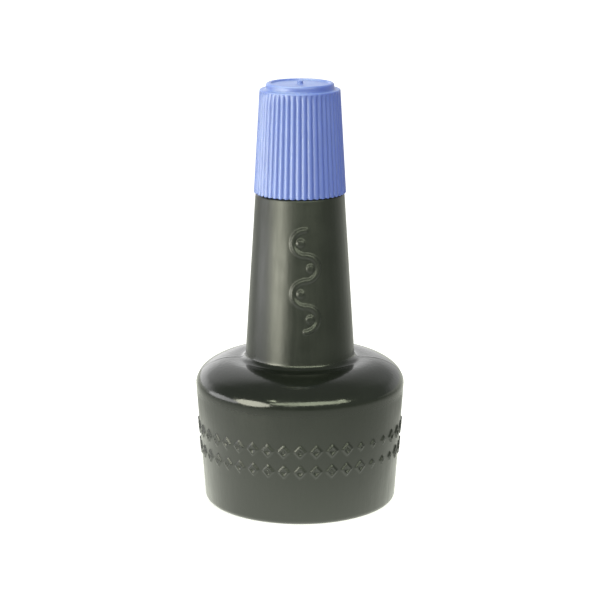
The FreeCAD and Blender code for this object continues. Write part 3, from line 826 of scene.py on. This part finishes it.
class OBJECT_OT_ink_bottle_cap(Built, bpy.types.Operator):
    """Makes the ribbed screw cap with its thread, well and closing pin"""

    bl_idname = "object.ink_bottle_cap"
    bl_label = "Cap"

    def execute(self, context):
        cap = settings("cap")
        foot = CAP_BOX[0][2]
        bore_foot = (cap.bore_radius, foot)
        seat = (cap.bore_radius, cap.seat_height)
        well = [
            (0.2 * MM, cap.pin_height),
            (cap.pin_radius, cap.pin_height, 0.15 * MM),
            (cap.pin_radius, cap.well_height),
            (cap.well_radius, cap.well_height),
            (cap.well_radius, cap.seat_height),
            seat,
            (cap.bore_radius, cap.seat_height - 0.6 * MM),
        ]
        made = Turning()
        made.pole(cap.pin_height)
        inner = rounded(well, 0.3 * MM, 1 * MM)
        made.add(inner, 92)

        def bore_thread(radius, height, azimuth):
            return thread_height(height, azimuth, cap.thread_start, cap.bore_radius - cap.thread_crest)

        made.add(run(inner[-1], (cap.bore_radius, foot + 0.25 * MM), 0.2 * MM), 184, bore_thread)
        edge = rounded(
            [(cap.bore_radius, foot + 0.25 * MM), bore_foot, (cap.foot_radius - 0.6 * MM, foot)], 0.15 * MM, 0.4 * MM
        )
        made.add(edge, 184, start=1)
        columns = cap.ribs * 16
        side = rounded(
            [edge[-1], (cap.foot_radius, foot, 0.15 * MM), (cap.lip_radius, cap.lip_height, cap.lip_round)]
            + [(cap.crown_radius + 0.6 * MM, cap.lip_height)],
            cap.lip_round,
            0.8 * MM,
            5,
        )
        made.add(side, columns, cap_ribs, start=1)
        crown = rounded(
            [
                side[-1],
                (cap.crown_radius, cap.lip_height, cap.crown_foot_round),
                (cap.crown_radius, cap.crown_height, cap.crown_round),
                (cap.dish_radius, cap.crown_height, 0.2 * MM),
                (cap.dish_radius - 0.15 * MM, cap.dish_edge, 0.25 * MM),
                (cap.gate_radius, cap.dish_middle, 0.15 * MM),
                (cap.gate_radius - 0.05 * MM, cap.gate_height, 0.3 * MM),
                (0.08 * MM, cap.gate_height),
            ],
            0.15 * MM,
            0.5 * MM,
            5,
        )
        made.add(crown, 184, start=1)
        made.pole(cap.gate_height)
        return self.place(made.piece("screw_cap", moulded_blue_polypropylene()), "cap", "cap")


# ---------------------------------------------------------------- stage


def panel(name, azimuth, distance, height, aim, size, radiance, tint="#FFFFFF", roll=0, only=None):
    """A soft elliptical panel at an azimuth from the front in degrees, a distance and a height in millimetres.

    It faces the axis at the height aim and leans by roll degrees. With only, it lights that piece and no other.
    """
    lamp = bpy.data.lights.new(name, "AREA")
    lamp.shape = "ELLIPSE"
    lamp.size, lamp.size_y = size[0] * MM, size[1] * MM
    lamp.energy = radiance * pi * lamp.size * lamp.size_y * pi / 4
    lamp.color = linear(tint)[:3]
    made = bpy.data.objects.new(name, lamp)
    turn = radians(azimuth)
    made.location = Vector((distance * sin(turn), -distance * cos(turn), height)) * MM
    facing = (Vector((0, 0, aim)) * MM - made.location).to_track_quat("-Z", "Y").to_matrix()
    made.rotation_euler = (facing @ Matrix.Rotation(radians(roll), 3, "Z")).to_euler()
    made.visible_camera = False
    bpy.context.scene.collection.objects.link(made)
    if only:
        receivers = bpy.data.collections.new(name + "_receivers")
        receivers.objects.link(bpy.data.objects[only])
        made.light_linking.receiver_collection = receivers
    return made


class OBJECT_OT_ink_bottle_stage(bpy.types.Operator):
    """Makes the floor, the studio light and the camera"""

    bl_idname = "object.ink_bottle_stage"
    bl_label = "Stage"

    def execute(self, context):
        stage = settings("stage")
        self.camera(context, stage)
        self.floor(context, stage)
        self.world(context)
        self.gloss_panels()
        self.cap_panels()
        context.scene.view_settings.view_transform = "Standard"
        return {"FINISHED"}

    def gloss_panels(self):
        """The highlights on the black plastic: a window on the neck and rim, a card, a long band and two sparks."""
        near = {"azimuth": -50, "distance": 140, "height": 50, "aim": 190}
        window = panel("left_window", **near, size=(98, 96), radiance=11, tint="#FFFFEA", roll=-60)
        window.visible_diffuse = False
        low = {"azimuth": -90, "distance": 230, "height": 18, "aim": 18}
        panel("left_card", **low, size=(190, 75), radiance=4)
        green = "#E9F2D2"
        front = {"azimuth": 12, "distance": 750, "height": 350, "aim": 45}
        panel("front_band", **front, size=(1500, 250), radiance=8, tint=green)
        left = {"azimuth": -32, "distance": 600, "height": 400, "aim": 30}
        panel("left_spark", **left, size=(70, 90), radiance=16, tint=green)
        right = {"azimuth": 48, "distance": 600, "height": 330, "aim": 30}
        panel("right_spark", **right, size=(90, 60), radiance=13, tint=green)

    def cap_panels(self):
        """Warm panels that light the cap alone, so its left side and top read paler than its own colour."""
        shared = {"tint": "#FAFFC0", "only": "screw_cap"}
        key = {"azimuth": -85, "distance": 420, "height": 300, "aim": 65}
        panel("cap_key", **key, size=(280, 280), radiance=5, **shared)
        sheen = {"azimuth": -70, "distance": 260, "height": 85, "aim": 65}
        panel("cap_sheen", **sheen, size=(240, 170), radiance=5.8, **shared)
        above = {"azimuth": -70, "distance": 150, "height": 500, "aim": 75}
        panel("cap_top", **above, size=(460, 460), radiance=9, **shared)

    def camera(self, context, stage):
        """The camera in front of the bottle, looking down on it."""
        made = bpy.data.objects.new("camera", bpy.data.cameras.new("camera"))
        made.data.lens = stage.lens
        made.data.sensor_width = 36
        made.data.clip_start = 0.01
        made.location = (0, -stage.distance, stage.height)
        made.rotation_euler = (pi / 2 - stage.tilt, 0, 0)
        context.scene.collection.objects.link(made)
        context.scene.camera = made

    def floor(self, context, stage):
        """A pale sheet. To glossy rays it glows with painted light: a pool brightest beside the bottle and a rise
        further behind it. To diffuse rays it glows evenly, and to the camera it is even.
        """
        half = stage.floor_size / 2
        mesh = bpy.data.meshes.new("floor")
        corners = [(-half, -half, 0), (half, -half, 0), (half, half, 0), (-half, half, 0)]
        mesh.from_pydata(corners, [], [(0, 1, 2, 3)])
        made = bpy.data.objects.new("floor", mesh)
        made.location.z = CAD_BOX[0][2] - 0.01 * MM
        context.scene.collection.objects.link(made)

        paper = bpy.data.materials.new("pale_paper")
        paper.use_nodes = True
        tree = paper.node_tree
        tree.nodes.clear()
        white = linear(settings("finish").floor)
        rays = add(tree, "LightPath")
        place = add(tree, "TexCoord").outputs["Object"]
        # Painted light: for glossy rays the floor gives off a pool of light centred 12 mm left of the axis, and more
        # light further behind the bottle.
        shifted = add(tree, "VectorMath", {0: place}, operation="ADD")
        shifted.inputs[1].default_value = (12 * MM, 0.0, 0.0)
        reach = add(tree, "VectorMath", {0: shifted.outputs[0]}, operation="LENGTH").outputs["Value"]
        near = ramp(tree, reach, 20 * MM, 75 * MM, 1.5, 0.0)
        painted_light_pool = maths(tree, "ADD", near, ramp(tree, reach, 60 * MM, 200 * MM, 0.8, 0.0))
        behind = ramp(tree, add(tree, "SeparateXYZ", {"Vector": place}).outputs["Y"], 30 * MM, 200 * MM, 0.34, 1.0)
        painted_glow = maths(tree, "ADD", painted_light_pool, behind)
        # This emission carries the painted pool of light and the painted rise behind, and only glossy rays see it.
        sheen = add(tree, "Emission", {"Strength": painted_glow}, color=linear("#F2F5E8"))
        bounce = add(tree, "Emission", color=white, strength=0.7)
        matt = add(tree, "BsdfDiffuse", color=white)
        lift = add(tree, "Emission", color=white, strength=0.75)
        seen = add(tree, "AddShader", {0: matt.outputs[0], 1: lift.outputs[0]})
        unseen = add(
            tree, "MixShader", {0: rays.outputs["Is Glossy Ray"], 1: bounce.outputs[0], 2: sheen.outputs[0]}
        )
        both = add(tree, "MixShader", {0: rays.outputs["Is Camera Ray"], 1: unseen.outputs[0], 2: seen.outputs[0]})
        add(tree, "OutputMaterial", {"Surface": both.outputs[0]})
        mesh.materials.append(paper)

    def world(self, context):
        """White to the camera, even and dimmer as fill, and brightest behind and low down where gloss mirrors it."""
        room = bpy.data.worlds.new("studio")
        room.use_nodes = True
        tree = room.node_tree
        tree.nodes.clear()
        rays = add(tree, "LightPath")
        toward = add(tree, "SeparateXYZ", {"Vector": add(tree, "TexCoord").outputs["Generated"]}).outputs
        behind = ramp(tree, toward["Y"], 0.25, 0.7, 0.0, 1.0)
        level = ramp(tree, toward["Z"], 0.75, 0.95, 1.0, 0.15)
        low = ramp(tree, toward["Z"], 0.22, 0.38, 1.8, 0.82)
        left = maths(tree, "MULTIPLY", ramp(tree, toward["X"], -0.3, 0.4, 1.0, 0.34), low)
        wall = maths(tree, "MULTIPLY", maths(tree, "MULTIPLY", behind, level), left)
        mirror = maths(tree, "ADD", wall, 0.28)
        even = maths(tree, "MULTIPLY", rays.outputs["Is Diffuse Ray"], 0.55)
        dim = maths(tree, "MULTIPLY", rays.outputs["Is Glossy Ray"], mirror)
        strength = maths(tree, "ADD", maths(tree, "ADD", even, dim), rays.outputs["Is Camera Ray"])
        light = add(tree, "Background", {"Strength": strength}, color=linear("#FFFFFF"))
        add(tree, "OutputWorld", {"Surface": light.outputs[0]})
        context.scene.world = room


# ---------------------------------------------------------------- panel and registration

STEPS = (
    OBJECT_OT_ink_bottle_bottle,
    OBJECT_OT_ink_bottle_ink,
    OBJECT_OT_ink_bottle_insert,
    OBJECT_OT_ink_bottle_liner,
    OBJECT_OT_ink_bottle_cap,
    OBJECT_OT_ink_bottle_stage,
)


class VIEW3D_PT_ink_bottle(bpy.types.Panel):
    """Lists the steps and the sizes of the ink bottle"""

    bl_label = "Ink bottle"
    bl_space_type = "VIEW_3D"
    bl_region_type = "UI"
    bl_category = "Ink bottle"

    def draw(self, context):
        for step in STEPS:
            self.layout.operator(step.bl_idname)
        for name, group in GROUPS.items():
            column = self.layout.column(heading=name.title())
            for item in group.__annotations__:
                column.prop(settings(name), item)


def register():
    """Registers the groups of sizes, the operators and the panel."""
    for group in GROUPS.values():
        bpy.utils.register_class(group)
    for name, group in GROUPS.items():
        setattr(bpy.types.Scene, "ink_bottle_" + name, bpy.props.PointerProperty(type=group))
    for step in STEPS + (VIEW3D_PT_ink_bottle,):
        bpy.utils.register_class(step)


def unregister():
    """Takes away what register added, in reverse."""
    for step in (VIEW3D_PT_ink_bottle,) + STEPS[::-1]:
        bpy.utils.unregister_class(step)
    for name in GROUPS:
        delattr(bpy.types.Scene, "ink_bottle_" + name)
    for group in GROUPS.values():
        bpy.utils.unregister_class(group)


def main():
    register()
    for step in STEPS:
        group, name = step.bl_idname.split(".")
        getattr(getattr(bpy.ops, group), name)()


if __name__ == "__main__":
    main()
